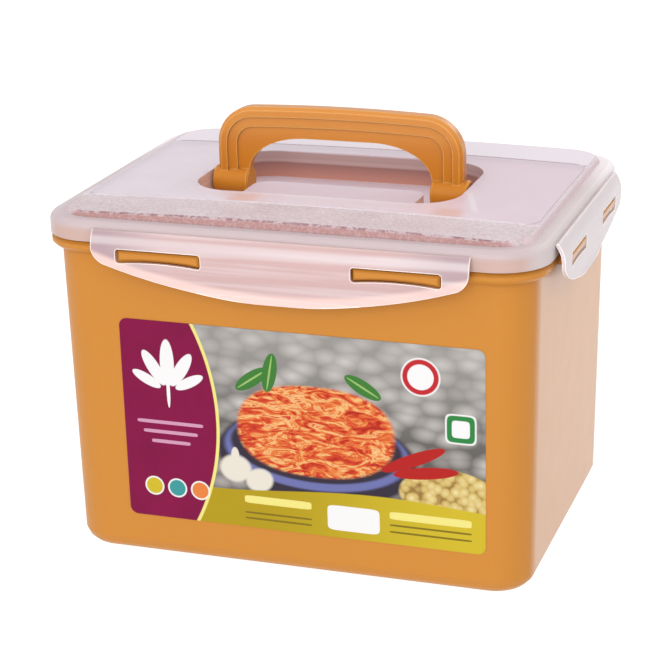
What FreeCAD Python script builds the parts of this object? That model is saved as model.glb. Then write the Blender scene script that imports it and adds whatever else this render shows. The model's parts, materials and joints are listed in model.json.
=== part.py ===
import FreeCAD, Part
import math
import os

from FreeCAD import Vector

# Kimchi keeper: a deep moulded tub with a clip lid, four lock flaps and a fold-down carry handle.
# Frame: millimetres, +Z up, origin on the floor under the tub's centre, +X along the long side,
# the labelled front faces -Y. Every piece is modelled closed and at rest, with the handle upright.

# Tub
tub_length = 236.0
tub_width = 179.1
tub_height = 168.4
tub_radius = 19.6
tub_wall = 2.2
base_inset_x = 2.2
base_inset_y = 3.2
base_edge_round = 8.9
inner_bevel = 5.0
floor_thickness = 2.8
foot_width = 14.0
foot_height = 1.2
bead_projection = 4.6
bead_height = 5.5
bead_bevel = 1.8

# Lock ribs on the tub and the slots that they fill
rib_height = 5.5
rib_top_below_bead = 1.3
rib_bevel = 1.2
rib_arch_radius = 172.0
rib_recess = 0.3
slot_clearance = 0.8
front_rib_length = 41.0
front_rib_spacing = 115.4
side_rib_length = 31.0
side_rib_spacing = 69.6

# Lid
lid_overhang = 5.0
lid_wall = 1.6
skirt_wall = 1.8
skirt_depth = 9.7
skirt_gap = 0.6
rim_round = 4.0
lip_wall = 1.8
lip_clearance = 0.5
lip_depth = 9.2
platform_rise = 4.2
platform_crown = 2.0
platform_lean = 2.8
window_rise = 0.5
window_length = 224.0
window_front = 57.0
window_back = 55.3
window_radius = 7.0

# Handle pocket in the lid
pocket_end_gap = 1.0
pocket_radius = 22.0
pocket_floor_gap = 1.0
land_depth = 5.9
land_back = 1.0
land_side_gap = 3.2
land_radius = 8.0
boss_radius = 4.4
boss_wall = 1.8

# Gasket in the lid's channel
gasket_height = 2.2
gasket_side_gap = 0.3
gasket_outset = 2.0

# Lock flaps
flap_thickness = 1.7
hinge_gap = 0.3
hinge_drop = 3.6
flap_bulge = 2.8
flap_shoulder = 10.0
flap_tuck = 2.3
flap_lip = 0.6
flap_lip_height = 2.4
flap_drop = 29.4
front_flap_width = 183.0
front_flap_radius = 262.0
side_flap_width = 132.0
side_flap_radius = 140.0
flap_corner = 9.0
slot_corner = 1.6

# Carry handle
handle_width = 126.6
handle_rise = 39.7
handle_bar = 16.0
handle_leg = 16.0
handle_corner = 19.0
handle_crown = 2.0
handle_thickness = 9.0
arch_end = 30.0
arch_drop = 17.5
step_width = 5.0
step_drop = 1.0
outer_bevel = 1.7
barrel_radius = 7.2
barrel_length = 18.8
barrel_bevel = 0.8
pivot_depth = 6.0
pivot_pin_radius = 3.0
pivot_pin_length = 4.0
pin_clearance = 0.05
pin_end_gap = 0.4

# Press tray inside the tub, with two folding loops
tray_side_gap = 1.3
tray_height = 36.0
tray_wall = 1.8
tray_floor = 2.0
tray_bevel = 5.0
tray_rim = 0.7
tray_rim_height = 2.4
tray_rest_gap = 0.3
loop_width = 62.0
loop_length = 34.0
loop_bar = 8.0
loop_thickness = 5.0
loop_radius = 9.0
loop_from_end = 22.0
loop_pin_radius = 2.0
loop_pin_length = 3.2
lug_length = 9.0
lug_width = 4.4
lug_gap = 0.4
lug_rise = 6.6

# Front label
label_left = 83.7
label_right = 96.7
label_bottom = 21.7
label_top = 124.0
label_radius = 4.0
label_thickness = 0.25

# Sizes that follow from the ones above
rim_under = tub_height + gasket_height
rim_top = rim_under + lid_wall
skirt_bottom = rim_top - skirt_depth
lip_bottom = rim_top - lip_depth
bead_top = skirt_bottom - skirt_gap
bead_bottom = bead_top - bead_height
rib_top = bead_top - rib_top_below_bead
rib_bottom = rib_top - rib_height
platform_top = rim_top + platform_rise
window_top = platform_top + window_rise
land_top = window_top - land_depth
pivot_height = window_top - pivot_depth
pocket_floor = pivot_height - barrel_radius - pocket_floor_gap
lid_length = tub_length + 2 * lid_overhang
lid_width = tub_width + 2 * lid_overhang
lid_radius = tub_radius + lid_overhang
lip_inset = tub_wall + lip_clearance
arch_half = handle_width / 2 - handle_leg
barrel_end = arch_half + barrel_length
pocket_length = 2 * (barrel_end + pocket_end_gap)
pocket_width = 2 * (handle_rise + pocket_end_gap)
tray_bottom = floor_thickness + tray_rest_gap
tray_inset = tub_wall + tray_side_gap
level_slack = 0.2
far = 400.0


def rounded_wire(length, width, radius, z):
    x = length / 2
    y = width / 2
    r = radius
    k = r * (1 - math.sqrt(0.5))
    corners = [
        (Vector(x, y - r, z), Vector(x - k, y - k, z), Vector(x - r, y, z)),
        (Vector(r - x, y, z), Vector(k - x, y - k, z), Vector(-x, y - r, z)),
        (Vector(-x, r - y, z), Vector(k - x, k - y, z), Vector(r - x, -y, z)),
        (Vector(x - r, -y, z), Vector(x - k, k - y, z), Vector(x, r - y, z)),
    ]
    edges = []
    for i, (start, middle, end) in enumerate(corners):
        edges.append(Part.Arc(start, middle, end).toShape())
        edges.append(Part.LineSegment(end, corners[(i + 1) % 4][0]).toShape())
    return Part.Wire(edges)


def prism(length, width, radius, low, high):
    face = Part.Face(rounded_wire(length, width, radius, low))
    return face.extrude(Vector(0, 0, high - low))


def box(x0, x1, y0, y1, z0, z1):
    return Part.makeBox(x1 - x0, y1 - y0, z1 - z0, Vector(x0, y0, z0))


def bar_x(radius, x0, x1, y, z):
    return Part.makeCylinder(radius, x1 - x0, Vector(x0, y, z), Vector(1, 0, 0))


def bar_y(radius, y0, y1, x, z):
    return Part.makeCylinder(radius, y1 - y0, Vector(x, y0, z), Vector(0, 1, 0))


def turned(shape, degrees):
    copy = shape.copy()
    copy.rotate(Vector(0, 0, 0), Vector(0, 0, 1), degrees)
    return copy


def mirrored(shape):
    return shape.mirror(Vector(0, 0, 0), Vector(1, 0, 0))


def both_ends(shape):
    return shape.fuse(mirrored(shape))


def edges_where(shape, test):
    return [edge for edge in shape.Edges if test(edge.BoundBox)]


def flat_at(z):
    return lambda b: abs(b.ZMin - z) < 0.001 and abs(b.ZMax - z) < 0.001


def softened(shape, radius, low, high):
    # Rounds the level edges between two heights in three flat steps that touch the true arc.
    first = radius * (2 - math.sqrt(2))
    second = radius * (math.tan(math.pi / 8) - math.tan(math.pi / 16))
    for step in (first, second):
        level = edges_where(shape, lambda b: b.ZLength < level_slack and low <= b.ZMin and b.ZMax <= high)
        shape = shape.makeChamfer(step, level)
    return shape


def corner_at(z):
    # Centre of the drafted wall's rounded corner at one height.
    t = 1 - z / tub_height
    x = tub_length / 2 - tub_radius - base_inset_x * t
    y = tub_width / 2 - tub_radius - base_inset_y * t
    return x, y


def leaning(radius, low, high, start, end):
    # A rounded block whose corner centres move from one place to another between two heights.
    foot = rounded_wire(2 * (start[0] + radius), 2 * (start[1] + radius), radius, low)
    head = rounded_wire(2 * (end[0] + radius), 2 * (end[1] + radius), radius, high)
    faces = [Part.Face(head), Part.Face(foot)]
    for lower, upper in zip(foot.Edges, head.Edges):
        first, last = [vertex.Point for vertex in lower.Vertexes]
        head_first, head_last = [vertex.Point for vertex in upper.Vertexes]
        if isinstance(lower.Curve, Part.Circle):
            faces.append(lower.extrude(head_first - first))
        else:
            faces.append(Part.Face(Part.makePolygon([first, last, head_last, head_first, first])))
    # Cleaning the solid also turns its faces outwards, which later bevels need.
    return Part.Solid(Part.Shell(faces)).removeSplitter()


def tapered(low, high, inset):
    # A drafted block, pulled in from the tub's outer wall.
    return leaning(tub_radius - inset, low, high, corner_at(low), corner_at(high))


def level_prism(low, high, z, inset):
    # An upright block with the outline that the drafted wall has at one height.
    x, y = corner_at(z)
    radius = tub_radius - inset
    return prism(2 * (x + radius), 2 * (y + radius), radius, low, high)


def rim_ring(outset, inset, low, high):
    # A ring that follows the tub's mouth, from one offset outside it to one inside it.
    outer = prism(tub_length + 2 * outset, tub_width + 2 * outset, tub_radius + outset, low, high)
    inner = prism(tub_length - 2 * inset, tub_width - 2 * inset, tub_radius - inset, low - 1, high + 1)
    return outer.cut(inner)


def rib_seat(length, depth, clearance):
    # The bar with an arched underside that is a lock rib, or grown by a clearance its slot.
    bottom = rib_bottom - clearance
    top = rib_top + clearance
    half = length / 2 + clearance
    arch = rib_arch_radius - math.sqrt(rib_arch_radius ** 2 - half ** 2)
    block = box(-half, half, -depth, 0, bottom, top)
    cut = bar_y(rib_arch_radius, -depth - 1, 1, 0, bottom + arch - rib_arch_radius)
    return block.cut(cut)


def lock_ribs(length, spacing, reach, wall):
    # Two ribs on one side of the tub, whose noses stand inside the flap's slots.
    rib = rib_seat(length, reach, 0).cut(box(-far, far, -wall, 1, 0, far))
    nose = edges_where(rib, lambda b: b.YMax < -reach + 0.001)
    rib = rib.makeChamfer(rib_bevel, nose)
    pair = []
    for side in (-1, 1):
        one = rib.copy()
        one.translate(Vector(side * spacing / 2, 0, 0))
        pair.append(one)
    return pair


def flap_reach():
    # Outer face of a closed flap, measured outwards from the lid's skirt.
    return hinge_gap + flap_thickness + flap_bulge


def make_tub():
    body = tapered(0, tub_height, 0)
    body = softened(body, base_edge_round, -level_slack, base_edge_round)
    inside = tapered(floor_thickness, tub_height, tub_wall)
    inside = inside.makeChamfer(inner_bevel, edges_where(inside, flat_at(floor_thickness)))
    bead = level_prism(bead_bottom, bead_top, tub_height, -bead_projection)
    level = [edge for edge in bead.Edges if edge.BoundBox.ZLength < 0.001]
    bead = bead.makeChamfer(bead_bevel, level)
    body = body.fuse(bead)
    reach = flap_reach() - rib_recess
    for turn in (0, 180):
        for rib in lock_ribs(front_rib_length, front_rib_spacing, lid_width / 2 + reach,
                             (tub_width - tub_wall) / 2):
            body = body.fuse(turned(rib, turn))
    for turn in (90, 270):
        for rib in lock_ribs(side_rib_length, side_rib_spacing, lid_length / 2 + reach,
                             (tub_length - tub_wall) / 2):
            body = body.fuse(turned(rib, turn))
    recess = level_prism(-1, foot_height, 0, foot_width)
    return body.cut(inside).cut(recess).removeSplitter()


def crowned(shape, top):
    # Trims a shape under a very shallow arch along the lid, highest at the middle.
    half = tub_length / 2
    radius = (half ** 2 + platform_crown ** 2) / (2 * platform_crown)
    return shape.common(bar_y(radius, -far, far, 0, top - radius))


def platform_block(inset):
    # The lid's raised middle: upright up to the rim and sloping in a little above it.
    side = 2 * inset
    block = prism(tub_length - side, tub_width - side, tub_radius - inset, skirt_bottom - 3, rim_top)
    foot = corner_at(tub_height)
    head = [centre - platform_lean for centre in foot]
    return block.fuse(leaning(tub_radius - inset, rim_top, window_top + 1, foot, head))


def window_blank():
    # The clear panel, a little proud of the platform.
    blank = prism(window_length, window_front + window_back, window_radius, rim_top, window_top + 1)
    blank.translate(Vector(0, (window_back - window_front) / 2, 0))
    return blank


def pocket_void(grow, drop):
    # The handle's pocket: a deep well behind a raised land and at both feet.
    outline = prism(pocket_length + 2 * grow, pocket_width + 2 * grow, pocket_radius + grow,
                    pocket_floor - drop, far)
    front = -pocket_width
    land_width = land_back - grow - front
    land_length = 2 * (arch_half - land_side_gap - grow)
    land = prism(land_length, land_width, land_radius - grow, 0, land_top - drop)
    land.translate(Vector(0, front + land_width / 2, 0))
    return outline.cut(land)


def make_lid():
    rim = prism(lid_length, lid_width, lid_radius, skirt_bottom, rim_top)
    rim = softened(rim, rim_round, rim_top - rim_round, rim_top + level_slack)
    platform = crowned(platform_block(lip_inset), platform_top)
    body = rim.fuse(platform).fuse(crowned(window_blank(), window_top))
    channel = rim_ring(lid_overhang - skirt_wall, lip_inset, skirt_bottom - 1, rim_under)
    hollow = crowned(platform_block(lip_inset + lip_wall), platform_top - lid_wall)
    shell = pocket_void(lid_wall, lid_wall)
    wall = pocket_length / 2
    boss_end = wall + pivot_pin_length + boss_wall
    boss = bar_x(boss_radius, wall, boss_end, 0, pivot_height)
    body = body.cut(channel).cut(hollow.cut(shell))
    body = body.fuse(both_ends(boss))
    step = prism(tub_length, tub_width, tub_radius, skirt_bottom - 3, lip_bottom)
    body = body.cut(step.cut(shell))
    bore_end = barrel_end + pivot_pin_length + pin_end_gap
    bore = bar_x(pivot_pin_radius + pin_clearance, wall - 1, bore_end, 0, pivot_height)
    return body.cut(pocket_void(0, 0)).cut(both_ends(bore)).removeSplitter()


def make_gasket():
    return rim_ring(gasket_outset, lip_inset - gasket_side_gap, tub_height, rim_under)


def flap_section():
    # A closed flap's section across the hinge: bulged over the rib, tucked in, with a small lip.
    half = flap_thickness / 2
    top = Vector(0, -hinge_gap - half, rim_top - hinge_drop)
    out = top.y - flap_bulge
    shoulder = Vector(0, out, top.z - flap_shoulder)
    bend = Vector(0, (top.y + 2 * out) / 3, top.z - flap_shoulder / 3)
    knee = Vector(0, out, rib_bottom - 2 * slot_clearance)
    lip_start = Vector(0, out + flap_tuck, top.z - flap_drop + flap_lip_height + half)
    lip_end = Vector(0, out + flap_tuck - flap_lip, top.z - flap_drop + half)
    path = Part.Wire([
        Part.Arc(top, bend, shoulder).toShape(),
        Part.LineSegment(shoulder, knee).toShape(),
        Part.LineSegment(knee, lip_start).toShape(),
        Part.LineSegment(lip_start, lip_end).toShape(),
    ])
    return Part.Face(path.makeOffset2D(half, 0, False, False, True))


def make_flap(width, bottom_radius, rib_length, rib_spacing, skirt):
    section = flap_section()
    section.translate(Vector(-width / 2, -skirt, 0))
    sheet = section.extrude(Vector(width, 0, 0))
    low = rim_top - hinge_drop - flap_drop
    outline = box(-width / 2, width / 2, -far, 0, low, rim_top)
    outline = outline.common(bar_y(bottom_radius, -far, 0, 0, low + bottom_radius))
    corners = edges_where(outline, lambda b: b.YLength > far / 2 and b.ZMax < rim_top - 1
                          and abs(b.XMin) > width / 2 - 0.01)
    outline = outline.makeFillet(flap_corner, corners)
    flap = sheet.common(outline)
    slot = rib_seat(rib_length, far, slot_clearance)
    ends = edges_where(slot, lambda b: b.YLength > far / 2)
    slot = slot.makeFillet(slot_corner, ends)
    for side in (-1, 1):
        one = slot.copy()
        one.translate(Vector(side * rib_spacing / 2, 0, 0))
        flap = flap.cut(one)
    return flap


def arch_void():
    # The finger space under the grip, with an elliptical corner at each side.
    top = pivot_height + handle_rise - handle_bar
    spring = top - arch_drop
    centre = arch_half - arch_end
    void = box(-arch_half, arch_half, -far, far, 0, spring)
    void = void.fuse(box(-centre, centre, -far, far, 0, top))
    ellipse = Part.Ellipse(Vector(0, 0, 0), arch_end, arch_drop)
    face = Part.Face(Part.Wire(ellipse.toShape()))
    corner = face.extrude(Vector(0, 0, 2 * far))
    corner.rotate(Vector(0, 0, 0), Vector(1, 0, 0), 90)
    corner.translate(Vector(centre, far, spring))
    return void.fuse(both_ends(corner))


def handle_plate(inset, thickness):
    # A plate with the handle's outline, pulled in from the outside.
    half = handle_width / 2
    crest = pivot_height + handle_rise
    crown = (half ** 2 + handle_crown ** 2) / (2 * handle_crown)
    plate = box(inset - half, half - inset, -thickness / 2, thickness / 2, pivot_height, crest)
    plate = plate.common(bar_y(crown - inset, -far, far, 0, crest - crown))
    corners = edges_where(plate, lambda b: b.YLength > thickness / 2 and b.ZMin > pivot_height + 1)
    return plate.makeFillet(handle_corner - inset, corners)


def make_handle():
    body = handle_plate(0, handle_thickness)
    rim = edges_where(body, lambda b: b.YLength < 0.001 and b.ZMax > pivot_height + 0.001)
    body = body.makeChamfer(outer_bevel, rim)
    for step in (1, 2):
        # Each step inside the stout rim is a thinner web.
        inset = step * step_width
        web = handle_plate(inset, handle_thickness - 2 * step * step_drop)
        body = body.cut(handle_plate(inset, handle_thickness + 1)).fuse(web)
    body = body.cut(arch_void())
    barrel = bar_x(barrel_radius, arch_half, barrel_end, 0, pivot_height)
    barrel = barrel.makeChamfer(barrel_bevel, edges_where(barrel, lambda b: b.XLength < 0.001))
    pin = bar_x(pivot_pin_radius, arch_half + 1, barrel_end + pivot_pin_length, 0, pivot_height)
    return body.fuse(both_ends(barrel.fuse(pin))).removeSplitter()


def loop_pivot():
    # Pivot of the right-hand loop in the tray: distance from the middle and height.
    inner = corner_at(tray_bottom)[0] + tub_radius - tray_inset - tray_wall
    return inner - loop_from_end, tray_bottom + tray_floor + lug_rise


def make_tray():
    top = tray_bottom + tray_height
    floor = tray_bottom + tray_floor
    body = tapered(tray_bottom, top, tray_inset)
    body = body.makeChamfer(tray_bevel, edges_where(body, flat_at(tray_bottom)))
    rim = level_prism(top - tray_rim_height, top, top, tray_inset - tray_rim)
    inside = tapered(floor, top, tray_inset + tray_wall)
    inside = inside.makeChamfer(tray_bevel - tray_wall / 2, edges_where(inside, flat_at(floor)))
    body = body.fuse(rim).cut(inside)
    x, z = loop_pivot()
    for side in (-1, 1):
        y = side * (loop_width / 2 + lug_gap + lug_width / 2)
        lug = box(x - lug_length / 2, x + lug_length / 2, y - lug_width / 2, y + lug_width / 2,
                  floor - tray_floor / 4, z)
        lug = lug.fuse(bar_y(lug_length / 2, y - lug_width / 2, y + lug_width / 2, x, z))
        body = body.fuse(both_ends(lug))
    bore_half = loop_width / 2 + loop_pin_length + pin_end_gap
    bore = bar_y(loop_pin_radius + pin_clearance, -bore_half, bore_half, x, z)
    space = box(-far, far, -loop_width / 2, loop_width / 2, floor, far)
    return body.cut(both_ends(bore.cut(space))).removeSplitter()


def make_loop():
    # One folding loop of the tray, lying flat towards the middle.
    x, z = loop_pivot()
    half = loop_width / 2
    tail = loop_bar / 2
    low = z - loop_thickness / 2
    high = z + loop_thickness / 2
    ring = prism(loop_length, loop_width, loop_radius, low, high)
    hole = prism(loop_length - 2 * loop_bar, loop_width - 2 * loop_bar, loop_radius / 2, low - 1, high + 1)
    ring = ring.cut(hole)
    ring.translate(Vector(x + tail - loop_length / 2, 0, 0))
    for side in (-1, 1):
        root = side * (half - tail)
        tip = side * (half + loop_pin_length)
        ring = ring.fuse(bar_y(loop_pin_radius, min(root, tip), max(root, tip), x, z))
    return ring.removeSplitter()


def make_label():
    # A thin sticker that lies on the tub's sloping front wall.
    slope = math.atan(base_inset_y / tub_height)
    length = label_left + label_right
    height = (label_top - label_bottom) / math.cos(slope)
    sheet = prism(length, height, label_radius, 0, label_thickness)
    sheet.translate(Vector((label_right - label_left) / 2, height / 2, 0))
    sheet.rotate(Vector(0, 0, 0), Vector(1, 0, 0), 90 + math.degrees(slope))
    foot = corner_at(label_bottom)[1] + tub_radius
    sheet.translate(Vector(0, -foot, label_bottom))
    return sheet


def build():
    loop = make_loop()
    front = make_flap(front_flap_width, front_flap_radius, front_rib_length, front_rib_spacing,
                      lid_width / 2)
    side = make_flap(side_flap_width, side_flap_radius, side_rib_length, side_rib_spacing,
                     lid_length / 2)
    return {
        "tub": make_tub(),
        "lid": make_lid(),
        "lid_gasket": make_gasket(),
        "lock_flap_front": front,
        "lock_flap_right": turned(side, 90),
        "lock_flap_back": turned(front, 180),
        "lock_flap_left": turned(side, 270),
        "carry_handle": make_handle(),
        "front_label": make_label(),
        "press_tray": make_tray(),
        "press_loop_right": loop,
        "press_loop_left": mirrored(loop),
    }


def main():
    os.makedirs("parts", exist_ok=True)
    for node, shape in build().items():
        print(node, shape.ShapeType, len(shape.Solids), shape.isValid(), round(shape.Volume))
        shape.exportStep("parts/" + node + ".step")


main()
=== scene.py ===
import json
import math
from types import SimpleNamespace

import bpy
from mathutils import Matrix, Vector


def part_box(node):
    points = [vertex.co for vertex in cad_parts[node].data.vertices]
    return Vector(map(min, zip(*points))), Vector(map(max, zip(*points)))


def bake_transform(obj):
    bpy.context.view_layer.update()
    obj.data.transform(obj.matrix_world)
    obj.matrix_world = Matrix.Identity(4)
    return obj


# Kimchi keeper in mustard orange with a frosted clip lid, on a white studio floor.
# Row frame in metres: +Z up, origin on the floor under the tub's centre, the label on the -Y side.
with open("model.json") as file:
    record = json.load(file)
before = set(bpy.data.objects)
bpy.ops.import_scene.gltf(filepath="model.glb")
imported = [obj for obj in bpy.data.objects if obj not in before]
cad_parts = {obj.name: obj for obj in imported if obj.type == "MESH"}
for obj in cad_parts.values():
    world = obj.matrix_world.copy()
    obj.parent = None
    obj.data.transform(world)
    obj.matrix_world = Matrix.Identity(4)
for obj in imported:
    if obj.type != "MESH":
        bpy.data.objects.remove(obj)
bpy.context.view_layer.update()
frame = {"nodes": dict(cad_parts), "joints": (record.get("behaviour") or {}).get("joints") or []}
nodes = frame["nodes"]
joints = {joint["name"]: joint for joint in frame["joints"]}
MM = 0.001

# Camera, as the photograph was taken
CAMERA_AZIMUTH = 18.8406
CAMERA_ELEVATION = 18.9519
CAMERA_ROLL = -1.2343
CAMERA_DISTANCE = 1089.7 * MM
CAMERA_RIGHT = -7.13 * MM
CAMERA_UP = 90.57 * MM
CAMERA_LENS = 113.706
CAMERA_SENSOR = 36.0

# Studio: the floor lies just below the part, so that nothing is in one plane with it
FLOOR_HALF = 6.0
FLOOR_LEVEL = -0.1 * MM
FLOOR_GLOW = 0.97
ROOM_BRIGHTNESS = 1.3
FLOOR_GREYS = ((0.15, 0.15, 0.15, 1.0), (0.17, 0.17, 0.17, 1.0))
ROOM_GREY = (0.42, 0.42, 0.42, 1.0)
PURE_WHITE = (1.0, 1.0, 1.0, 1.0)
BOX_SIZE = 1.6
LIGHT_TARGET = (0, 0, 0.1)

# Places read from the frame
LID_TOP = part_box("lid")[1][2]
FLAP_LOW, FLAP_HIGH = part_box("lock_flap_front")
SIDE_LOW, SIDE_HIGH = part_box("lock_flap_right")

# Sizes on the lid, with drops measured down from its highest point. A pair is where a tone starts and ends.
WINDOW_FRONT = 57.0 * MM
WINDOW_BACK = 55.3 * MM
WINDOW_HALF = 112.0 * MM
PANEL_EDGE = 0.5 * MM
PLATFORM_HALF_X = 115.3 * MM
PLATFORM_HALF_Y = 86.85 * MM
CROWN_BEND = 0.1436
RIM_DROP = 4.7 * MM
SKIRT_DROPS = (6.2 * MM, 10.2 * MM)
RIM_SIDES = (112.0 * MM, 121.0 * MM)
RIM_REAR = (10.0 * MM, 85.0 * MM)
WALL_HEIGHT = 6.0 * MM
WALL_CORNER = 4.0 * MM
POCKET_HALF_X = 67.1 * MM
POCKET_HALF_Y = 40.7 * MM
POCKET_DEPTH = 14.2 * MM
POCKET_MARGIN = 1.0 * MM
FEET_CENTRE = 18.0 * MM
FEET_ACROSS = (44.0 * MM, 57.0 * MM)
FEET_ALONG = (-58.0 * MM, -44.0 * MM)
STREAK_ACROSS = (63.0 * MM, 66.0 * MM)
STREAK_ALONG = (-46.0 * MM, -14.0 * MM)

# Places on the flaps and the handle. A long flap's lower edge rises by its arch times the square of x.
FLAP_ARCH = 1.908
FLAP_LIP_HEIGHTS = (145.6 * MM, 142.6 * MM)
FLAP_SHOULDER = (156.5 * MM, 158.5 * MM)
FLAP_HINGE = (163.5 * MM, 167.0 * MM)
FLAP_ENDS = (50.0 * MM, 88.0 * MM)
GRIP_LEG_SHADE_HEIGHTS = (177.0 * MM, 196.0 * MM)
GRIP_CREST_HEIGHTS = (182.0 * MM, 204.0 * MM)

# Hinge webs between the lid and its flaps
WEB_THICKNESS = 0.7 * MM
WEB_INSET = 1.2 * MM
WEB_BITE = 0.3 * MM
WEB_REACH = 1.15 * MM
WEB_STATIONS = 5
HINGE_GAP = 0.3 * MM

# How the plastics scatter light, and how strong the painted glow is along milky edges, over the lid and in
# its pocket. A cover is the share of light that a milky surface scatters back.
ORANGE_IOR = 1.4
ORANGE_ROUGHNESS = 0.4
MILKY_IOR = 1.49
EDGE_GLOW = 0.15
LID_GLOW = 0.03
POCKET_GLOW = 0.12
LID_COVER = 0.97
POCKET_COVER = 0.9
WINDOW_COVER = 0.7
PRINT_SHARE = 0.74


def srgb(red, green, blue):
    """A linear colour from 8-bit display values."""
    linear = []
    for part in (red, green, blue):
        part = part / 255
        linear.append(part / 12.92 if part <= 0.04045 else ((part + 0.055) / 1.055) ** 2.4)
    return (*linear, 1.0)


def darker(colour, share):
    return tuple(share * part for part in colour[:3]) + (1.0,)


def ink(red, green, blue):
    """A printed colour, which the studio's light lifts to the given display values."""
    return darker(srgb(red, green, blue), PRINT_SHARE)


# Colours of the printed label
PEBBLE_PALE = ink(196, 192, 188)
PEBBLE = ink(156, 151, 146)
PEBBLE_DARK = ink(92, 88, 85)
BOWL = ink(52, 44, 58)
BOWL_SHINE = ink(108, 112, 168)
FOOD_DEEP = ink(160, 26, 12)
FOOD_RED = ink(206, 62, 34)
FOOD_ORANGE = ink(226, 128, 62)
FOOD_CREAM = ink(240, 196, 132)
LEAF = ink(62, 122, 52)
LEAF_VEIN = ink(150, 186, 104)
BEAN = ink(206, 178, 104)
BEAN_PALE = ink(232, 214, 156)
BEAN_DARK = ink(150, 116, 60)
GARLIC = ink(226, 218, 204)
PEPPER = ink(178, 30, 26)
OLIVE = ink(176, 150, 20)
OLIVE_PALE = ink(204, 180, 40)
OLIVE_DARK = ink(128, 108, 22)
CREAM = ink(236, 224, 130)
WHITE = ink(238, 236, 236)
MAGENTA = ink(140, 2, 70)
MAGENTA_DEEP = ink(116, 0, 58)
PINK = ink(206, 150, 178)
TEAL = ink(60, 150, 150)
GREEN = ink(44, 130, 64)
BADGE_RED = ink(190, 36, 44)

# Colours of the orange plastic, with the painted highlight on the handle's ridges and the painted shade in
# its grooves and on its legs
TUB_ORANGE = srgb(183, 120, 45)
GRIP_ORANGE = srgb(195, 124, 38)
GRIP_RIDGE_HIGHLIGHT = srgb(232, 182, 106)
GRIP_GROOVE_SHADE = srgb(148, 78, 10)
GRIP_LEG_SHADE = srgb(176, 100, 18)

# Colours of the milky plastic, many of them painted light: highlights along edges and lines, shade on walls
# and in the pocket, and orange glow from the tub and the handle's feet seen through
WINDOW_TINT = srgb(222, 209, 218)
WINDOW_PALE = srgb(232, 220, 229)
WINDOW_PINK = srgb(220, 194, 204)
WINDOW_WARM_GLOW = srgb(222, 178, 158)
BORDER = srgb(207, 198, 205)
FROST_DARK = srgb(174, 153, 156)
FROST = srgb(188, 173, 177)
FROST_LIGHT = srgb(208, 196, 200)
# Pale white for the painted highlights along edges, and for the clear panel's pale streak
EDGE_WHITE = srgb(246, 238, 238)
BACK_LINE_SHADE = srgb(172, 148, 158)
FRONT_LINE_HIGHLIGHT = srgb(220, 208, 212)
WALL_SHADE_DARK = srgb(128, 88, 92)
WALL_SHADE_PINK = srgb(160, 117, 113)
WALL_FOOT_SHADE = srgb(134, 98, 98)
WALL_SIDE = srgb(200, 178, 183)
RIM_TINT = srgb(180, 163, 166)
RIM_SIDE_LIT = srgb(188, 176, 176)
RIM_BACK_LIT = srgb(222, 214, 217)
SKIRT_ORANGE_GLOW = srgb(180, 150, 141)
POCKET_FLOOR = srgb(190, 172, 180)
POCKET_PALE = srgb(172, 145, 143)
POCKET_SHADE_RED = srgb(142, 100, 94)
POCKET_DEEP_SHADE = srgb(184, 128, 114)
POCKET_WARM_GLOW = srgb(214, 176, 158)
FLAP_TINT = srgb(197, 164, 162)
FLAP_PALE = srgb(216, 205, 208)
FLAP_END_SHADE = srgb(168, 144, 150)
FLAP_LIP_HIGHLIGHT = srgb(240, 208, 200)
FLAP_EDGE_HIGHLIGHT = srgb(255, 244, 234)
TRAY_TINT = srgb(214, 204, 206)
GASKET_TINT = srgb(214, 206, 204)


# Small helpers for node materials

def connect(tree, value, socket):
    """Feeds a socket from another node's socket, or sets it to a constant."""
    if isinstance(value, bpy.types.NodeSocket):
        tree.links.new(value, socket)
    else:
        socket.default_value = value


def add(tree, kind, inputs=None, **settings):
    """A shader node, with its settings and its inputs, which are constants or other nodes' sockets."""
    made = tree.nodes.new(kind)
    for key, setting in settings.items():
        setattr(made, key, setting)
    for key, value in (inputs or {}).items():
        connect(tree, value, made.inputs[key])
    return made


def calc(tree, operation, *values):
    made = add(tree, "ShaderNodeMath", dict(enumerate(values)), operation=operation)
    return made.outputs[0]


def plus(tree, first, second):
    return calc(tree, "ADD", first, second)


def minus(tree, first, second):
    return calc(tree, "SUBTRACT", first, second)


def times(tree, first, second):
    return calc(tree, "MULTIPLY", first, second)


def absolute(tree, value):
    return calc(tree, "ABSOLUTE", value)


def raise_to(tree, value, power):
    return calc(tree, "POWER", value, power)


def mix(tree, factor, first, second):
    """Two colours mixed by a factor."""
    made = add(tree, "ShaderNodeMix", data_type="RGBA")
    for index, value in ((0, factor), (6, first), (7, second)):
        connect(tree, value, made.inputs[index])
    return made.outputs[2]


def ramp(tree, factor, *stops):
    """A colour ramp given by (position, colour) stops."""
    made = add(tree, "ShaderNodeValToRGB", {0: factor})
    elements = made.color_ramp.elements
    while len(elements) < len(stops):
        elements.new(1.0)
    for element, (position, colour) in zip(elements, stops):
        element.position = position
        element.color = colour
    return made.outputs[0]


def step(tree, value, low, high):
    """0 at low and 1 at high, with a smooth rise between. It falls where low is above high."""
    made = add(tree, "ShaderNodeMapRange", {"Value": value, "From Min": low, "From Max": high},
               interpolation_type="SMOOTHSTEP")
    return made.outputs[0]


def band(tree, value, low, high, blur):
    """1 where a value lies between two others."""
    above = step(tree, value, low - blur, low + blur)
    return times(tree, above, minus(tree, 1.0, step(tree, value, high - blur, high + blur)))


def place(tree):
    """The point on the piece at rest, in metres."""
    return add(tree, "ShaderNodeTexCoord").outputs["Object"]


def parts(tree, vector):
    """A vector's three coordinates."""
    return tuple(add(tree, "ShaderNodeSeparateXYZ", {0: vector}).outputs)


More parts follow.
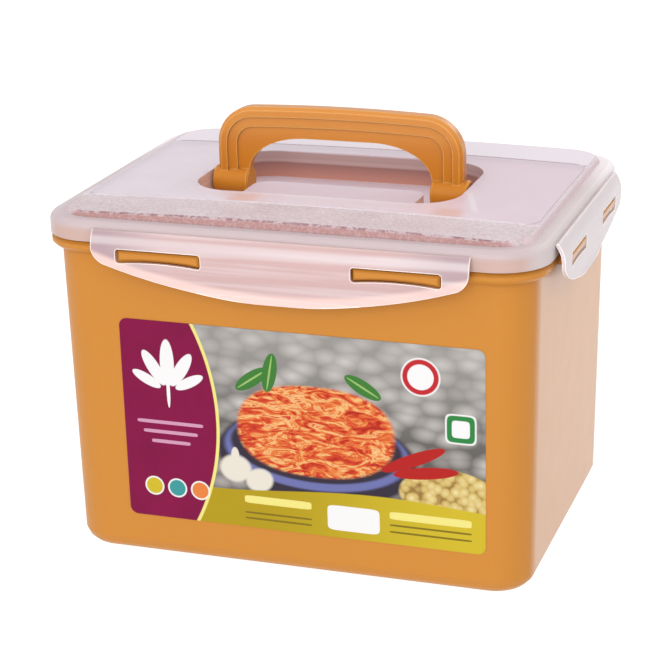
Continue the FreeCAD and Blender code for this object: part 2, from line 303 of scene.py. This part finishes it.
def noise(tree, point, scale, detail=2.0, roughness=0.5, distortion=0.0):
    made = add(tree, "ShaderNodeTexNoise", {"Vector": point, "Scale": scale, "Detail": detail,
                                            "Roughness": roughness, "Distortion": distortion})
    return made.outputs[0]


def grain(tree, height, depth, edge):
    """A normal with rounded edges and a fine surface grain of the given depth."""
    soft = add(tree, "ShaderNodeBevel", {"Radius": edge}, samples=4)
    made = add(tree, "ShaderNodeBump", {"Strength": 1.0, "Distance": depth, "Height": height,
                                        "Normal": soft.outputs[0]})
    return made.outputs[0]


def near_edge(tree, width, sharpness):
    """1 beside a sharp edge and 0 away from it."""
    soft = add(tree, "ShaderNodeBevel", {"Radius": width}, samples=6)
    plain = add(tree, "ShaderNodeNewGeometry").outputs["Normal"]
    made = add(tree, "ShaderNodeVectorMath", {0: soft.outputs[0], 1: plain}, operation="DOT_PRODUCT")
    turned = minus(tree, 1.0, made.outputs["Value"])
    return add(tree, "ShaderNodeClamp", {0: times(tree, turned, sharpness)}).outputs[0]


def material(name):
    made = bpy.data.materials.new(name)
    made.use_nodes = True
    tree = made.node_tree
    return made, tree, tree.nodes["Principled BSDF"]


# Orange plastic of the tub, the handle and the loops

def orange_plastic(name, colour):
    """Satin orange plastic, still without its gloss, and the tone that its colour starts from."""
    made, tree, skin = material(name)
    point = place(tree)
    tone = mix(tree, noise(tree, point, 9.0, detail=3.0), colour, darker(colour, 0.95))
    rough = plus(tree, times(tree, noise(tree, point, 60.0), 0.08), ORANGE_ROUGHNESS - 0.04)
    connect(tree, rough, skin.inputs["Roughness"])
    fine = noise(tree, point, 2600.0)
    connect(tree, grain(tree, fine, depth=0.012 * MM, edge=0.9 * MM), skin.inputs["Normal"])
    skin.inputs["IOR"].default_value = ORANGE_IOR
    skin.inputs["Subsurface Weight"].default_value = 0.08
    skin.inputs["Subsurface Radius"].default_value = (1.0, 0.35, 0.05)
    skin.inputs["Subsurface Scale"].default_value = 2.0 * MM
    skin.inputs["Coat IOR"].default_value = 1.3
    skin.inputs["Coat Roughness"].default_value = 0.25
    return made, tree, skin, tone


def shine(tree, skin, share, coat, specular):
    """Coat and specular level, each given by its least value and what the share adds to it."""
    for name, (least, added) in (("Coat Weight", coat), ("Specular IOR Level", specular)):
        connect(tree, plus(tree, times(tree, share, added), least), skin.inputs[name])


def tub_plastic():
    """The tub is glossier on its two flat ends than on its long sides and round corners."""
    made, tree, skin, tone = orange_plastic("orange_body", TUB_ORANGE)
    connect(tree, tone, skin.inputs["Base Color"])
    normal = add(tree, "ShaderNodeNewGeometry").outputs["Normal"]
    sideways = absolute(tree, parts(tree, normal)[0])
    flat_end = step(tree, sideways, 0.93, 0.995)
    shine(tree, skin, flat_end, coat=(0.1, 0.65), specular=(0.25, 0.25))
    return made


def grip_plastic():
    """The handle has painted highlights along its ridges, painted shade in its grooves and on its legs, and
    is glossiest along its top.
    """
    made, tree, skin, tone = orange_plastic("orange_grip", GRIP_ORANGE)
    height = parts(tree, place(tree))[2]
    # Painted shade on the legs, below the handle's top
    legs = band(tree, height, *GRIP_LEG_SHADE_HEIGHTS, blur=4.0 * MM)
    tone = mix(tree, times(tree, legs, 0.5), tone, GRIP_LEG_SHADE)
    # Painted highlight beside each ridge's edge
    ridges = near_edge(tree, width=0.9 * MM, sharpness=8.0)
    tone = mix(tree, times(tree, ridges, 0.85), tone, GRIP_RIDGE_HIGHLIGHT)
    # Painted shade in the grooves, where the ambient occlusion is low
    open_sky = add(tree, "ShaderNodeAmbientOcclusion", {"Distance": 3.0 * MM}, samples=8)
    tone = mix(tree, step(tree, open_sky.outputs["AO"], 0.3, 0.97), GRIP_GROOVE_SHADE, tone)
    connect(tree, tone, skin.inputs["Base Color"])
    crest = step(tree, height, *GRIP_CREST_HEIGHTS)
    shine(tree, skin, crest, coat=(0.1, 0.8), specular=(0.2, 0.25))
    return made


# Milky plastic of the flaps, the tray and the gasket

def milky_plastic(name, colour, edge_highlight, cover=0.85, roughness=0.35, rows_and_light=None):
    """Natural polypropylene with a painted highlight and a painted glow along its edges. A lower cover lets
    more light through.
    """
    made, tree, skin = material(name)
    point = place(tree)
    # Painted highlight and painted glow along every edge
    edge = near_edge(tree, width=0.8 * MM, sharpness=8.0)
    tone = mix(tree, noise(tree, point, 35.0, detail=3.0), colour, darker(colour, 0.94))
    if rows_and_light:
        tone = rows_and_light(tree, tone, point)
    connect(tree, mix(tree, edge, tone, edge_highlight), skin.inputs["Base Color"])
    connect(tree, calc(tree, "MAXIMUM", cover, edge), skin.inputs["Alpha"])
    skin.inputs["Emission Color"].default_value = edge_highlight
    connect(tree, times(tree, edge, EDGE_GLOW), skin.inputs["Emission Strength"])
    skin.inputs["Roughness"].default_value = roughness
    skin.inputs["IOR"].default_value = MILKY_IOR
    fine = noise(tree, point, 1800.0)
    connect(tree, grain(tree, fine, depth=0.01 * MM, edge=0.5 * MM), skin.inputs["Normal"])
    return made


def flap_rows_and_light(tree, tone, point):
    """A long flap has faint rows, painted shade at its ends, and painted highlights along its hinge,
    shoulder and lower lip.
    """
    x, z = parts(tree, point)[::2]
    rows = add(tree, "ShaderNodeCombineXYZ", {0: times(tree, x, 0.03), 1: z}).outputs[0]
    rows = step(tree, noise(tree, rows, 260.0), 0.42, 0.66)
    tone = mix(tree, times(tree, rows, 0.4), tone, FLAP_PALE)
    # Painted shade towards the ends
    ends = step(tree, absolute(tree, x), *FLAP_ENDS)
    tone = mix(tree, times(tree, ends, 0.95), tone, FLAP_END_SHADE)
    # Painted highlights along the hinge, the shoulder and the lower lip
    hinge = band(tree, z, *FLAP_HINGE, blur=1.0 * MM)
    tone = mix(tree, times(tree, hinge, 0.5), tone, FLAP_PALE)
    shoulder = band(tree, z, *FLAP_SHOULDER, blur=1.2 * MM)
    shoulder = times(tree, shoulder, step(tree, x, 10.0 * MM, 70.0 * MM))
    tone = mix(tree, times(tree, shoulder, 0.6), tone, FLAP_PALE)
    arch = minus(tree, z, times(tree, raise_to(tree, x, 2.0), FLAP_ARCH))
    lip = step(tree, arch, *FLAP_LIP_HEIGHTS)
    return mix(tree, times(tree, lip, 0.65), tone, FLAP_LIP_HIGHLIGHT)


# Frosted plastic of the lid

def lid_places(tree):
    """What the lid's tones go by: where a point lies, and two noises."""
    at = SimpleNamespace()
    at.point = place(tree)
    at.x, at.y, height = parts(tree, at.point)
    at.across = absolute(tree, at.x)
    at.along = absolute(tree, at.y)
    at.drop = minus(tree, LID_TOP, height)
    at.sag = times(tree, raise_to(tree, at.x, 2.0), CROWN_BEND)
    normal = add(tree, "ShaderNodeNewGeometry").outputs["True Normal"]
    at.level = step(tree, parts(tree, normal)[2], 0.85, 0.95)
    # Distances inwards from the clear panel's edges
    at.side = minus(tree, WINDOW_HALF, at.across)
    at.front = plus(tree, at.y, WINDOW_FRONT)
    at.back = minus(tree, WINDOW_BACK, at.y)
    reach = calc(tree, "MAXIMUM", minus(tree, at.across, PLATFORM_HALF_X - WALL_CORNER),
                 minus(tree, at.along, PLATFORM_HALF_Y - WALL_CORNER))
    at.outside = step(tree, reach, 0.0, 0.5 * MM)
    at.crumbs = noise(tree, at.point, 700.0, detail=4.0, roughness=0.7)
    at.patches = noise(tree, at.point, 60.0, detail=3.0)
    return at


def clear_panel(tree, at):
    """The clear panel, with a painted pink reflection, a painted warm glow of the orange feet before the
    pocket, and a pale streak.
    """
    tone = mix(tree, at.patches, WINDOW_TINT, WINDOW_PALE)
    pink = step(tree, plus(tree, at.x, times(tree, at.y, 0.3)), -50.0 * MM, 90.0 * MM)
    tone = mix(tree, times(tree, pink, 0.5), tone, WINDOW_PINK)
    # Painted warm glow of the orange feet, seen through the panel before the pocket
    feet = absolute(tree, minus(tree, at.x, FEET_CENTRE))
    warm = times(tree, band(tree, feet, *FEET_ACROSS, blur=3.5 * MM),
                 band(tree, at.y, *FEET_ALONG, blur=4.0 * MM))
    tone = mix(tree, times(tree, warm, 0.55), tone, WINDOW_WARM_GLOW)
    slant = plus(tree, at.x, times(tree, at.y, 0.35))
    streak = times(tree, band(tree, slant, *STREAK_ACROSS, blur=0.8 * MM),
                   band(tree, at.y, *STREAK_ALONG, blur=5.0 * MM))
    return mix(tree, times(tree, streak, 0.3), tone, EDGE_WHITE)


def lid_top(tree, at, window):
    """The clear panel and the frosted pads round it, with a painted highlight line in front and a painted
    shade line behind.
    """
    speckle = plus(tree, times(tree, at.crumbs, 0.75), times(tree, at.patches, 0.25))
    frost = ramp(tree, speckle, (0.34, FROST_DARK), (0.5, FROST), (0.68, FROST_LIGHT))
    pad = step(tree, at.front, 0.2 * MM, -0.4 * MM)
    flank = times(tree, step(tree, at.side, 0.2 * MM, -0.4 * MM), 0.75)
    border = mix(tree, calc(tree, "MAXIMUM", pad, flank), BORDER, frost)
    tone = mix(tree, window, border, clear_panel(tree, at))
    # Painted highlight along the panel's front edge, and a painted shade line along its back
    front_highlight = band(tree, at.front, -0.5 * MM, 0.3 * MM, blur=0.3 * MM)
    tone = mix(tree, times(tree, front_highlight, at.level), tone, FRONT_LINE_HIGHLIGHT)
    back_shade = times(tree, band(tree, at.back, 0.0, 1.5 * MM, blur=0.2 * MM),
                      step(tree, at.side, -0.2 * MM, 0.0))
    return mix(tree, times(tree, back_shade, at.level), tone, BACK_LINE_SHADE)


def lid_wall(tree, at, tone):
    """The sloping wall round the raised middle, painted with shade on its front: a dark broken line at its
    top, a pink band below it and a dark line at its foot. The walls behind are painted paler.
    """
    height = minus(tree, RIM_DROP, at.drop)
    rise = calc(tree, "DIVIDE", height, minus(tree, RIM_DROP - PANEL_EDGE, at.sag))
    # Painted shade on the wall, darkest at its top and foot
    shade = ramp(tree, rise, (0.04, WALL_FOOT_SHADE), (0.14, WALL_SHADE_PINK), (0.7, WALL_SHADE_PINK),
                 (0.8, WALL_SHADE_DARK), (0.95, WALL_SHADE_DARK))
    gaps = step(tree, noise(tree, at.point, 260.0, detail=4.0, roughness=0.8), 0.47, 0.56)
    gaps = times(tree, gaps, step(tree, rise, 0.65, 0.72))
    shade = mix(tree, gaps, shade, FROST_DARK)
    shade = mix(tree, times(tree, step(tree, at.crumbs, 0.45, 0.62), 0.3), shade, FROST)
    # The walls behind the front are painted paler, without that shade
    behind = step(tree, at.y, 1.0 * MM - PLATFORM_HALF_Y, 5.0 * MM - PLATFORM_HALF_Y)
    shade = mix(tree, behind, shade, WALL_SIDE)
    wall = times(tree, band(tree, height, 0.0, WALL_HEIGHT, blur=0.05 * MM), at.outside)
    wall = times(tree, wall, minus(tree, 1.0, at.level))
    return mix(tree, wall, tone, shade)


def lid_rim(tree, at, tone):
    """The rim outside that wall is paler and is painted lighter still at its sides and back; its skirt is
    painted with orange light from the tub behind it.
    """
    # Painted orange light from the tub behind the skirt
    shade = mix(tree, step(tree, at.drop, *SKIRT_DROPS), RIM_TINT, SKIRT_ORANGE_GLOW)
    # The rim painted lighter at its sides and back
    shade = mix(tree, step(tree, at.across, *RIM_SIDES), shade, RIM_SIDE_LIT)
    shade = mix(tree, step(tree, at.y, *RIM_REAR), shade, RIM_BACK_LIT)
    rim = times(tree, step(tree, at.drop, RIM_DROP - 0.15 * MM, RIM_DROP + 0.05 * MM), at.outside)
    return mix(tree, rim, tone, shade)


def lid_pocket(tree, at, tone):
    """The handle's pocket, with pale floors, painted shade on its walls that deepens downwards, a painted
    warm glow at its front, and where it lies.
    """
    near_x = step(tree, minus(tree, POCKET_HALF_X + POCKET_MARGIN, at.across), 0.0, 0.4 * MM)
    near_y = step(tree, minus(tree, POCKET_HALF_Y + POCKET_MARGIN, at.along), 0.0, 0.4 * MM)
    pocket = times(tree, times(tree, near_x, near_y), step(tree, at.drop, 0.6 * MM, 0.9 * MM))
    # Painted shade deepening down the pocket's walls
    shade = ramp(tree, calc(tree, "DIVIDE", at.drop, POCKET_DEPTH),
                 (0.05, POCKET_PALE), (0.4, POCKET_PALE), (0.47, POCKET_SHADE_RED), (1.0, POCKET_DEEP_SHADE))
    # Painted warm glow at the pocket's front
    shade = mix(tree, times(tree, step(tree, at.y, 0.0, -4.0 * MM), 0.8), shade, POCKET_WARM_GLOW)
    shade = mix(tree, at.level, shade, POCKET_FLOOR)
    return mix(tree, pocket, tone, shade), pocket


def lid_plastic():
    made, tree, skin = material("lid_frosted")
    at = lid_places(tree)
    inside = calc(tree, "MINIMUM", at.side, calc(tree, "MINIMUM", at.front, at.back))
    raised = step(tree, minus(tree, at.sag, at.drop), 0.3 * MM - RIM_DROP, 0.8 * MM - RIM_DROP)
    window = times(tree, step(tree, inside, 0.0, 0.3 * MM), raised)
    tone = lid_top(tree, at, window)
    tone = lid_wall(tree, at, tone)
    tone = lid_rim(tree, at, tone)
    tone, pocket = lid_pocket(tree, at, tone)
    # Painted highlight along the lid's edges
    edge = near_edge(tree, width=0.5 * MM, sharpness=3.0)
    tone = mix(tree, times(tree, edge, 0.35), tone, EDGE_WHITE)
    connect(tree, tone, skin.inputs["Base Color"])
    connect(tree, minus(tree, 0.5, times(tree, window, 0.3)), skin.inputs["Roughness"])
    # A painted glow, faint over the whole lid and stronger in its pocket, stands in for light that the
    # plastic scatters inside itself and keeps the pocket from going dark
    connect(tree, tone, skin.inputs["Emission Color"])
    connect(tree, plus(tree, times(tree, pocket, POCKET_GLOW), LID_GLOW),
            skin.inputs["Emission Strength"])
    cover = minus(tree, LID_COVER, times(tree, window, LID_COVER - WINDOW_COVER))
    cover = calc(tree, "MAXIMUM", cover, times(tree, pocket, POCKET_COVER))
    connect(tree, cover, skin.inputs["Alpha"])
    crumbs = times(tree, at.crumbs, minus(tree, 1.05, window))
    connect(tree, grain(tree, crumbs, depth=0.045 * MM, edge=0.5 * MM), skin.inputs["Normal"])
    skin.inputs["IOR"].default_value = MILKY_IOR
    return made


# The printed label, in millimetres across and up

def blot(tree, x, z, centre, size, turn=0.0, power=2.0, blur=0.04):
    """1 inside an ellipse, or with a high power inside a rounded box."""
    across, up = minus(tree, x, centre[0]), minus(tree, z, centre[1])
    cosine, sine = math.cos(math.radians(turn)), math.sin(math.radians(turn))
    along = plus(tree, times(tree, across, cosine), times(tree, up, sine))
    aside = minus(tree, times(tree, up, cosine), times(tree, across, sine))
    first, second = (raise_to(tree, absolute(tree, calc(tree, "DIVIDE", offset, half)), power)
                     for offset, half in ((along, size[0]), (aside, size[1])))
    return step(tree, plus(tree, first, second), 1.0 + blur * power, 1.0 - blur * power)


def cells(tree, point, scale):
    """Distance to the middle of the nearest cell."""
    made = add(tree, "ShaderNodeTexVoronoi", {"Vector": point, "Scale": scale, "Randomness": 0.85})
    return made.outputs["Distance"]


def stamp(tree, x, z, tone, colour, *shapes, **looks):
    """The same colour in several shapes, each given by its centre, half size and turn."""
    for shape in shapes:
        tone = mix(tree, blot(tree, x, z, *shape, **looks), tone, colour)
    return tone


def dish_of_food(tree, x, z, tone):
    """A dark bowl heaped with red food, with a garnish of leaves."""
    flat = add(tree, "ShaderNodeCombineXYZ", {0: x, 1: z}).outputs[0]
    tone = stamp(tree, x, z, tone, BOWL, ((14, 62), (50, 24)))
    tone = stamp(tree, x, z, tone, BOWL_SHINE, ((14, 65), (46, 20)))
    tone = stamp(tree, x, z, tone, BOWL, ((14, 67), (43, 18)))
    curls = add(tree, "ShaderNodeMapping",
                {"Vector": flat, "Rotation": (0.0, 0.0, 0.5), "Scale": (0.05, 0.13, 1.0)})
    food = noise(tree, curls.outputs[0], 1.6, detail=5.0, roughness=0.62, distortion=2.2)
    dish = ramp(tree, food, (0.3, FOOD_DEEP), (0.42, FOOD_RED), (0.52, FOOD_ORANGE),
                (0.6, FOOD_CREAM), (0.68, FOOD_RED))
    tone = stamp(tree, x, z, tone, dish, ((14, 75), (39, 23)), power=2.4)
    for centre, turn in (((-17, 99), 35), ((-8, 103), 80), ((38, 100), -30)):
        tone = stamp(tree, x, z, tone, LEAF, (centre, (10, 3.6), turn))
        tone = stamp(tree, x, z, tone, LEAF_VEIN, (centre, (9, 0.5), turn))

    # Beans, garlic and peppers beside the bowl
    bean = ramp(tree, cells(tree, flat, 0.26), (0.1, BEAN_PALE), (0.6, BEAN), (0.85, BEAN_DARK))
    tone = stamp(tree, x, z, tone, bean, ((79, 50), (24, 13)))
    tone = stamp(tree, x, z, tone, GARLIC, ((-27, 52), (8, 7)), ((-15, 47), (7, 6), 20),
                 ((-27, 59), (2, 4)), blur=0.15)
    return stamp(tree, x, z, tone, PEPPER, ((62, 66), (17, 3.2), 24), ((68, 60), (16, 3.0), 8))


def olive_wave(tree, x, z, tone):
    """An olive wave along the bottom, with blank panels and plain lines."""
    crest = times(tree, calc(tree, "SINE", times(tree, x, 0.035)), 2.5)
    wave = step(tree, minus(tree, plus(tree, crest, 43.0), z), -0.3, 0.3)
    tone = mix(tree, wave, tone, mix(tree, step(tree, x, -20.0, 90.0), OLIVE, OLIVE_PALE))
    for colour, shapes in ((CREAM, (((-6, 36.5), (17, 2.0)), ((70, 36.5), (20, 2.0)))),
                           (WHITE, (((32, 32), (13, 6.5)),)),
                           (OLIVE_DARK, (((-6, 29.5), (17, 0.5)), ((-6, 26.5), (17, 0.5)),
                                         ((70, 31.5), (20, 0.5)), ((70, 28.0), (20, 0.5))))):
        tone = stamp(tree, x, z, tone, colour, *shapes, power=8.0, blur=0.01)
    return tone


def wine_field(tree, x, z, tone):
    """A magenta field with a curved edge, a sprig of leaves, three plain lines and three dots."""
    flat = add(tree, "ShaderNodeCombineXYZ", {0: x, 1: z}).outputs[0]
    wine = mix(tree, noise(tree, flat, 0.06, detail=3.0), MAGENTA, MAGENTA_DEEP)
    tone = stamp(tree, x, z, tone, CREAM, ((-150, 74), (115.6, 115.6)), blur=0.002)
    tone = stamp(tree, x, z, tone, wine, ((-150, 74), (114, 114)), blur=0.002)
    tone = stamp(tree, x, z, tone, WHITE,
                 ((-60, 103), (3.6, 12)), ((-67, 100), (3.2, 10), 32), ((-53, 100), (3.2, 10), -32),
                 ((-71, 94), (2.6, 8), 62), ((-49, 94), (2.6, 8), -62), ((-60, 88), (0.9, 8)))
    tone = stamp(tree, x, z, tone, PINK, ((-60, 72), (17, 0.9)), ((-60, 67), (14, 0.9)),
                 ((-60, 62), (10, 0.9)), power=8.0, blur=0.02)
    for across, colour in ((-70, OLIVE_PALE), (-58, TEAL), (-46, FOOD_ORANGE)):
        tone = stamp(tree, x, z, tone, WHITE, ((across, 38), (5, 5)))
        tone = stamp(tree, x, z, tone, colour, ((across, 38), (4.2, 4.2)))
    return tone


def label_film():
    """Glossy printed film: grey pebbles, a dish of food, plain fields and two blank badges."""
    made, tree, skin = material("label_film")
    x, z = (times(tree, part, 1 / MM) for part in parts(tree, place(tree))[::2])
    low = add(tree, "ShaderNodeCombineXYZ", {0: x, 1: times(tree, z, 1.7)}).outputs[0]
    pebble = ramp(tree, cells(tree, low, 0.085), (0.05, PEBBLE_PALE), (0.4, PEBBLE), (0.75, PEBBLE_DARK))
    tone = mix(tree, times(tree, step(tree, z, 60.0, 124.0), 0.45), pebble, PEBBLE_PALE)
    tone = dish_of_food(tree, x, z, tone)
    tone = olive_wave(tree, x, z, tone)
    tone = wine_field(tree, x, z, tone)
    for centre, size, colour, power in (((85, 84), 7.5, GREEN, 6.0), ((66, 108), 9.5, BADGE_RED, 2.0)):
        for inset, layer in ((0, WHITE), (0.8, colour), (3.2, WHITE)):
            half = size - inset
            tone = stamp(tree, x, z, tone, layer, (centre, (half, half)), power=power)
    connect(tree, tone, skin.inputs["Base Color"])
    skin.inputs["Roughness"].default_value = 0.32
    skin.inputs["Specular IOR Level"].default_value = 0.15
    return made


def paint(made, *names):
    """Puts a material into every slot of the named pieces."""
    for name in names:
        for entry in nodes[name].material_slots:
            entry.material = made


def dress_pieces():
    paint(tub_plastic(), "tub")
    paint(grip_plastic(), "carry_handle", "press_loop_right", "press_loop_left")
    paint(lid_plastic(), "lid")
    paint(milky_plastic("flap_long", FLAP_TINT, FLAP_EDGE_HIGHLIGHT, rows_and_light=flap_rows_and_light),
          "lock_flap_front", "lock_flap_back")
    paint(milky_plastic("flap_short", FLAP_PALE, FLAP_EDGE_HIGHLIGHT), "lock_flap_right", "lock_flap_left")
    paint(milky_plastic("tray_clear", TRAY_TINT, EDGE_WHITE, cover=0.4, roughness=0.3), "press_tray")
    paint(milky_plastic("gasket_silicone", GASKET_TINT, EDGE_WHITE, cover=0.7, roughness=0.4), "lid_gasket")
    paint(label_film(), "front_label")


# Pieces that only the scene has

def mesh_piece(name, points, faces, made):
    mesh = bpy.data.meshes.new(name)
    mesh.from_pydata([tuple(point) for point in points], [], faces)
    mesh.materials.append(made)
    mesh.update()
    piece = bpy.data.objects.new(name, mesh)
    bpy.context.scene.collection.objects.link(piece)
    return piece


def hinge_webs():
    """The thin bending strips that join the lid's skirt to its four flaps."""
    made = milky_plastic("hinge_web", FLAP_TINT, FLAP_EDGE_HIGHLIGHT)
    # Each end of a web is a ring: its lower points one way and its upper points back.
    count = 2 * WEB_STATIONS
    ring = list(range(0, count, 2)) + list(range(count - 1, 0, -2))
    faces = [(i, j, j + count, i + count) for i, j in zip(ring, ring[1:] + ring[:1])]
    faces += [tuple(ring[::-1]), tuple(i + count for i in ring)]
    for side, axis, sign, low, high in (("front", 1, -1, FLAP_LOW, FLAP_HIGH),
                                        ("back", 1, 1, FLAP_LOW, FLAP_HIGH),
                                        ("right", 0, 1, SIDE_LOW, SIDE_HIGH),
                                        ("left", 0, -1, SIDE_LOW, SIDE_HIGH)):
        pivot = Vector(joints["flap_" + side + "_swing"]["pos_m"])
        half = (high[1 - axis] - low[1 - axis]) / 2 - WEB_INSET
        start, end = pivot.copy(), pivot.copy()
        start[axis] -= sign * (WEB_REACH + WEB_BITE)
        end[axis] -= sign * (WEB_REACH - HINGE_GAP - WEB_BITE)
        points = []
        for edge in (-half, half):
            for station in range(WEB_STATIONS):
                for lift in (-WEB_THICKNESS / 2, WEB_THICKNESS / 2):
                    spot = start.lerp(end, station / (WEB_STATIONS - 1))
                    spot[1 - axis] = edge
                    spot[2] += lift
                    points.append(spot)
        piece = mesh_piece("hinge_web_" + side, points, faces, made)
        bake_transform(piece)


# The photograph's place and light

def studio_floor():
    made, tree, skin = material("white_sweep")
    tone = mix(tree, noise(tree, place(tree), 3.0), *FLOOR_GREYS)
    connect(tree, tone, skin.inputs["Base Color"])
    skin.inputs["Emission Color"].default_value = PURE_WHITE
    skin.inputs["Emission Strength"].default_value = FLOOR_GLOW
    skin.inputs["Roughness"].default_value = 0.6
    skin.inputs["Specular IOR Level"].default_value = 0.2
    corners = [(-FLOOR_HALF, -FLOOR_HALF, FLOOR_LEVEL), (FLOOR_HALF, -FLOOR_HALF, FLOOR_LEVEL),
               (FLOOR_HALF, FLOOR_HALF, FLOOR_LEVEL), (-FLOOR_HALF, FLOOR_HALF, FLOOR_LEVEL)]
    floor = mesh_piece("floor", corners, [(0, 1, 2, 3)], made)


def white_room():
    """The world: a white room, brighter overhead than at its sides."""
    world = bpy.data.worlds.new("white_room")
    bpy.context.scene.world = world
    world.use_nodes = True
    tree = world.node_tree
    upward = parts(tree, add(tree, "ShaderNodeTexCoord").outputs["Generated"])[2]
    shade = mix(tree, step(tree, upward, 0.1, 0.8), ROOM_GREY, PURE_WHITE)
    backdrop = tree.nodes["Background"]
    connect(tree, shade, backdrop.inputs["Color"])
    backdrop.inputs["Strength"].default_value = ROOM_BRIGHTNESS


def soft_box(name, spot, power):
    light = bpy.data.lights.new(name, "AREA")
    light.shape = "SQUARE"
    light.size = BOX_SIZE
    light.energy = power
    box = bpy.data.objects.new(name, light)
    box.location = spot
    aim = Vector(LIGHT_TARGET) - Vector(spot)
    box.rotation_euler = aim.to_track_quat("-Z", "Y").to_euler()
    bpy.context.scene.collection.objects.link(box)


def camera():
    azimuth = math.radians(CAMERA_AZIMUTH)
    elevation = math.radians(CAMERA_ELEVATION)
    roll = math.radians(CAMERA_ROLL)
    right = Vector((math.cos(azimuth), math.sin(azimuth), 0))
    back = Vector((math.sin(azimuth) * math.cos(elevation),
                   -math.cos(azimuth) * math.cos(elevation), math.sin(elevation)))
    up = back.cross(right)
    side = math.cos(roll) * right + math.sin(roll) * up
    top = math.cos(roll) * up - math.sin(roll) * right
    data = bpy.data.cameras.new("camera")
    data.lens = CAMERA_LENS
    data.sensor_width = CAMERA_SENSOR
    view = bpy.data.objects.new("camera", data)
    spot = CAMERA_DISTANCE * back + CAMERA_RIGHT * right + CAMERA_UP * up
    view.matrix_world = Matrix.Translation(spot) @ Matrix((side, top, back)).transposed().to_4x4()
    bpy.context.scene.collection.objects.link(view)
    bpy.context.scene.camera = view


def picture():
    """Plain colours, and enough bounces for the layers of milky plastic."""
    scene = bpy.context.scene
    scene.view_settings.view_transform = "Standard"
    scene.view_settings.look = "None"
    scene.render.film_transparent = False
    scene.cycles.max_bounces = 8
    scene.cycles.transparent_max_bounces = 24


dress_pieces()
hinge_webs()
studio_floor()
white_room()
soft_box("front_light", (0.15, -2.0, 0.75), 25.5)
soft_box("back_light", (0.9, 1.9, 1.4), 11.0)
camera()
picture()
